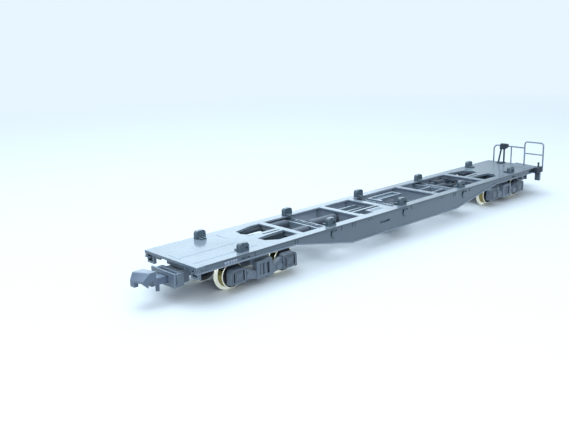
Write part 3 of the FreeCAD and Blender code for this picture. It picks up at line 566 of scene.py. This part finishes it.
def spring_coil(shape, x, y, low, high):
    """Wire wound round one of the springs' cores."""
    turns, steps = 5, 14
    coil_radius, wire_radius = 0.5, 0.1
    points = []
    for k in range(turns * steps + 1):
        turn = 2 * pi * k / steps
        points.append((x + coil_radius * cos(turn), y + coil_radius * sin(turn),
                       low + (high - low) * k / (turns * steps)))
    shape.tube(points, wire_radius, 6)


def painted_shade_on_cover(shape, x, z, face):
    """Painted shade, deep in the recess round the axlebox cover and lighter on the cover that
    stands out to the side frame's face.
    """
    for cover_face in shape.bm.faces:
        spot = cover_face.calc_center_median()
        across, depth = abs(spot.x - x), abs(face) - abs(spot.y)
        if across < 1.45 and abs(spot.z - z) < 1.55 and depth < 0.5:
            if depth > 0.1:
                cover_face[shape.shade_and_darkening] = 0.85
            else:
                cover_face[shape.shade_and_darkening] = 0.45 if across < 1.1 else 0


def cover_details(shape, x, z, face, side):
    """Bead round the axlebox cover, three slanting ribs on it and a bolt at each corner."""
    bead = rounded(rectangle(x - bead_half_width, x + bead_half_width,
                             z + bead_low, z + bead_high), 0.8, 6)
    bead = [(a, face, b) for a, b in bead]
    shape.tube(bead + bead[:1], 0.14, 8)
    for shift in (-0.45, 0.0, 0.45):
        rib = [(x + shift - 0.35, z - 0.6), (x + shift - 0.2, z - 0.6),
               (x + shift + 0.35, z + 0.6), (x + shift + 0.2, z + 0.6)]
        shape.prism(rib, "y", face - side * 0.05, face + side * 0.05, 0.02)
    for bolt_x, bolt_z in rectangle(-0.8, 0.8, -0.85, 0.85):
        shape.lathe([(-0.05 * side, 0), (-0.05 * side, 0.16), (0.06 * side, 0.14),
                     (0.06 * side, 0)], (x + bolt_x, face, z + bolt_z), "y", 10)


def sideframe(end_sign, label, hand, side):
    """A bogie's side frame with wire on its two springs and details on its two axleboxes."""
    node = "bogie_sideframe_%s_%s" % (hand, label)
    low, high = node_box(node)
    middle = (low.x + high.x) / 2
    face = side * max(abs(low.y), abs(high.y))
    shape = Shape()
    shape.add_node(node, 0.06)
    for direction in (-1, 1):
        spring_coil(shape, middle + direction * 0.6, face - side * 0.85, spring_low, spring_high)
        axle_low, axle_high = node_box(
            "wheelset_%s_%s" % ("outer" if direction == end_sign else "inner", label))
        x, z = (axle_low.x + axle_high.x) / 2, (axle_low.z + axle_high.z) / 2
        painted_shade_on_cover(shape, x, z, face)
        cover_details(shape, x, z, face, side)
    shape.stand_for(node)


for end, label in ends:
    for side, hand in sides:
        sideframe(end, label, hand, side)


# ---- what lies in the members between the locks -------------------------------------------
member_low, member_high = node_box("lock_cross_members")


def member_lining(x):
    """Raised floor of a member's trough with a rod and its guides."""
    shape = Shape()
    floor_top = member_high.z - 0.28
    shape.block(x - 0.97, x + 0.97, member_low.y + 0.33, member_high.y - 0.33,
                member_high.z - 0.7, floor_top, 0.03)
    shape.tube([(x + 0.3, member_low.y + 0.6, floor_top + 0.12),
                (x + 0.3, member_high.y - 0.6, floor_top + 0.12)], 0.14, 8)
    for guide_y in (-4.6, -2.2, 2.0, 4.4):
        shape.block(x + 0.05, x + 0.6, guide_y - 0.25, guide_y + 0.25,
                    floor_top - 0.02, floor_top + 0.36, 0.04)
    return shape


for number, lock_x in enumerate(lock_places[1:4], start=2):
    member_lining(lock_x).finish("member_lining_%d" % number, "underframe", "body_plastic")


# ---- small marks on the sills -------------------------------------------------------------
rib_places = (-39.1, -38.3, -20.7, -19.8, 19.8, 20.7)
rib_low, rib_high = 7.05, 8.0
rivet_places = (-15.1, -14.0, 14.0, 15.1)
rivet_level = 7.65
tab_low, tab_high = 7.1, 7.95


def sill_marks(side, hand):
    """Thin upright ribs in pairs, rivets and a tab beside each lock lever."""
    shape = Shape()
    skin, proud = side * (web_face - 0.05), side * (web_face + 0.1)
    for rib_x in rib_places:
        shape.block(rib_x - 0.09, rib_x + 0.09, skin, proud, rib_low, rib_high, 0.02)
    for rivet_x in rivet_places:
        shape.lathe([(0.0, 0), (0.0, 0.16), (0.16 * side, 0.12), (0.16 * side, 0)],
                    (rivet_x, skin, rivet_level), "y", 10)
    for lock_x in lock_places:
        shape.block(lock_x + 1.9, lock_x + 2.15, skin, proud, tab_low, tab_high, 0.02)
    # the marks are drawn darker than the sill
    for face in shape.bm.faces:
        face[shape.shade_and_darkening] = 0.5
    shape.finish("sill_marks_" + hand, "underframe", "body_plastic")


for side, hand in sides:
    sill_marks(side, hand)

# bare white cells of the data panel on the right sill near the plain end, as start and width
panel_cells = ((-58.4, 0.6), (-57.65, 0.6), (-56.8, 0.45), (-56.2, 0.45), (-55.6, 0.45))
panel_rows = (6.88, 7.36)
cell_height = 0.4
panel = Shape()
for start, width in panel_cells:
    for level in panel_rows:
        panel.block(start, start + width, -web_face + 0.05, -web_face - 0.03,
                    level, level + cell_height, 0)
for face in panel.bm.faces:
    face[panel.white_paint_and_painted_light] = 1
panel.finish("sill_panel_cells", "underframe", "body_plastic")


# ---- brake gear under the frame -----------------------------------------------------------
hanger_top = 7.75                       # just under the decks
gear = Shape()
# small tank on two hangers in the bay next to the brake end's deck
gear.lathe([(28.4, 0), (28.4, 0.7), (28.7, 1.0), (29.2, 1.15), (36.4, 1.15), (36.9, 1.0),
            (37.2, 0.7), (37.2, 0)], (0, 5.2, 6.4), "x", 20)
for hanger_x in (30.2, 35.2):
    gear.block(hanger_x - 0.25, hanger_x + 0.25, 4.0, 6.45, 6.2, hanger_top, 0.04)
# rods and brackets beside it
gear.tube([(31.9, 1.8, 6.0), (34.0, 1.8, 6.0), (37.6, 2.4, 5.6)], 0.2)
gear.tube([(33.6, -1.2, 5.9), (33.6, 3.6, 5.9)], 0.18)
gear.block(33.1, 34.3, 1.3, 3.4, 5.7, 6.5, 0.06)
gear.block(35.4, 38.0, 1.4, 4.0, 5.4, 6.4, 0.1)
gear.block(36.2, 38.0, 2.4, 5.6, 6.6, 7.2, 0.06)
# box with a bent rod near the middle of the car
gear.block(8.0, 9.6, -4.4, -1.5, 6.5, 7.05, 0.06)
gear.tube([(8.8, -3.0, 6.6), (8.8, -3.0, 5.9), (12.4, -0.9, 5.9)], 0.22)
# bracket under the brake end's deck
gear.block(44.0, 47.0, 4.2, 6.2, 6.9, hanger_top, 0.06)
gear.finish("brake_rigging", "underframe", "gear_plastic")

# thin near-black plate on the right sill's web below the handrails: painted shade on the end of
# the web
end_shade_plate = Shape()
end_shade_plate.block(59.6, 65.1, -web_face + 0.05, -web_face - 0.12, 7.0, 7.95, 0.04)
end_shade_plate.finish("sill_end_shade_plate", "underframe", "gear_plastic")


# ---- below the ends of the decks ----------------------------------------------------------
def corner_step(shape, side):
    """Step with a recess in its front, framed by a rim."""
    low, high = node_box("corner_steps_plain")
    inner, outer = side * (high.y - 2.35), side * high.y
    rim, bottom = 0.42, low.z - 0.25    # it hangs lower than the CAD node does
    plate = low.x + 0.45
    shape.block(plate, high.x, inner, outer, bottom, high.z, 0.05)
    for start, stop in ((inner, inner + side * rim), (outer - side * rim, outer)):
        shape.block(low.x, plate + 0.02, start, stop, bottom, high.z, 0.06)
    for start, stop in ((bottom, bottom + rim), (high.z - rim, high.z)):
        shape.block(low.x, plate + 0.02, inner + side * rim, outer - side * rim, start, stop, 0.06)


corner_steps = Shape()
for side in (-1, 1):
    corner_step(corner_steps, side)
corner_steps.stand_for("corner_steps_plain")

# end beams in two halves, beside the coupler pockets, shorter at the plain end
beam_high = node_box("end_beams")[1]
beam_inner, beam_thickness, beam_depth = 4.2, 0.6, 0.75
beams = Shape()
for end, label in ends:
    beam_outer = beam_high.y if label == "brake" else beam_high.y - 1.05
    for side in (-1, 1):
        beams.block(end * (beam_high.x - beam_thickness), end * beam_high.x,
                    side * beam_inner, side * beam_outer,
                    beam_high.z - beam_depth, beam_high.z, 0.06)
beams.stand_for("end_beams")


# ---- everything that keeps its CAD shape --------------------------------------------------
def mark_sill(shape, face):
    """Darkening on the edge of the top flange, a painted highlight on the edge of the bottom one
    and painted light on the inner faces.
    """
    spot = face.calc_center_median()
    if abs(spot.y) > half_width - 0.02:
        if spot.z > deck_top - 0.6:
            face[shape.shade_and_darkening] = 0.35
        else:
            face[shape.white_paint_and_painted_light] = 0.25
    elif face.normal.y * spot.y < -3:
        face[shape.white_paint_and_painted_light] = 0.4


def refined(node):
    """A piece that keeps a CAD node's shape, with rounded edges, and with painted light and
    darkening on some nodes' faces.
    """
    shape = Shape()
    shape.add_node(node, 0.06)
    for face in shape.bm.faces:
        if node.startswith("side_sill"):
            mark_sill(shape, face)
        # the cross beams' upright faces are lightened as painted light
        elif node == "cross_beams" and abs(face.normal.z) < 0.3:
            face[shape.white_paint_and_painted_light] = 0.2
        # the tanks' tops are lightened: dust, and painted light
        elif node == "air_reservoirs":
            face[shape.white_paint_and_painted_light] = 0.14 * max(0.0, face.normal.z) ** 2
    shape.stand_for(node)


for node in sorted(frame["nodes"]):
    if node not in stood_for:
        refined(node)


# ---- floor, lamps and background ----------------------------------------------------------
backdrop_colour = (0.80, 0.92, 1.0)
floor_reach = 4.0                       # these are in metres
fade_start, fade_end = 0.12, 0.40


def diffuse(tree, colour):
    node = tree.nodes.new("ShaderNodeBsdfDiffuse")
    node.inputs["Color"].default_value = (*colour, 1)
    return node.outputs["BSDF"]


def make_floor():
    """Pale floor that fades into the backdrop with distance.

    It throws little light back up at the underside, and is brighter where it is mirrored."""
    material, tree, output = new_tree("floor")
    path = tree.nodes.new("ShaderNodeLightPath")
    mirrored = path.outputs["Is Glossy Ray"]
    seen = greater(tree, path.outputs["Is Camera Ray"], mirrored)
    near = mixed_shader(tree, seen, diffuse(tree, (0.22, 0.25, 0.29)),
                        diffuse(tree, (0.84, 0.90, 0.95)))
    far = tree.nodes.new("ShaderNodeEmission")
    far.inputs["Color"].default_value = (*backdrop_colour, 1)
    distance = tree.nodes.new("ShaderNodeVectorMath")
    distance.operation = "LENGTH"
    link(tree, tree.nodes.new("ShaderNodeTexCoord").outputs["Object"], distance.inputs[0])
    faded = ranged(tree, distance.outputs["Value"], 0.0, 1.0, fade_start, fade_end)
    fade = times(tree, greater(tree, faded, times(tree, mirrored, 0.85)), seen)
    link(tree, mixed_shader(tree, fade, near, far.outputs["Emission"]), output.inputs["Surface"])
    mesh = bpy.data.meshes.new("floor")
    corners = rectangle(-floor_reach, floor_reach, -floor_reach, floor_reach)
    mesh.from_pydata([(x, y, 0) for x, y in corners], [], [(0, 1, 2, 3)])
    mesh.materials.append(material)
    floor = bpy.data.objects.new("floor", mesh)
    scene.collection.objects.link(floor)


def make_lamp(name, place, size, power, colour):
    """Round soft lamp at a place in metres, turned to the middle of the car."""
    data = bpy.data.lights.new(name, "AREA")
    data.shape = "DISK"
    data.size = size
    data.energy = power
    data.color = colour
    lamp = bpy.data.objects.new(name, data)
    lamp.location = place
    lamp.rotation_euler = (-Vector(place)).to_track_quat("-Z", "Y").to_euler()
    scene.collection.objects.link(lamp)


def background(tree, colour):
    node = tree.nodes.new("ShaderNodeBackground")
    node.inputs["Color"].default_value = (*colour, 1)
    return node


def make_world():
    """Soft light from all round, and a pale backdrop for the rays that see or mirror it."""
    world = bpy.data.worlds.new("world")
    scene.world = world
    world.use_nodes = True
    tree = world.node_tree
    tree.nodes.clear()
    output = tree.nodes.new("ShaderNodeOutputWorld")
    ambient = background(tree, (0.80, 0.90, 1.0))
    ambient.inputs["Strength"].default_value = 0.45
    backdrop = background(tree, backdrop_colour)
    path = tree.nodes.new("ShaderNodeLightPath")
    seen = greater(tree, path.outputs["Is Camera Ray"], path.outputs["Is Glossy Ray"])
    seen = greater(tree, seen, path.outputs["Is Transmission Ray"])
    # mirrored in the model, the backdrop is darker beyond the brake end
    direction = tree.nodes.new("ShaderNodeSeparateXYZ")
    coordinates = tree.nodes.new("ShaderNodeTexCoord")
    link(tree, coordinates.outputs["Generated"], direction.inputs["Vector"])
    mirrored = ranged(tree, direction.outputs["X"], 1.0, 0.3, 0.76, 0.87)
    link(tree, greater(tree, path.outputs["Is Camera Ray"], mirrored),
         backdrop.inputs["Strength"])
    blend = mixed_shader(tree, seen, ambient.outputs["Background"],
                         backdrop.outputs["Background"])
    link(tree, blend, output.inputs["Surface"])


make_floor()
make_world()
make_lamp("top", (-0.08, 0.03, 0.42), 0.5, 1.6, (0.80, 0.92, 1.0))
make_lamp("back", (0.24, 0.42, 0.32), 0.6, 0.9, (0.74, 0.89, 1.0))
make_lamp("fill", (-0.25, -0.32, 0.25), 0.4, 1.0, (0.92, 0.96, 1.0))
scene.view_settings.view_transform = "Standard"
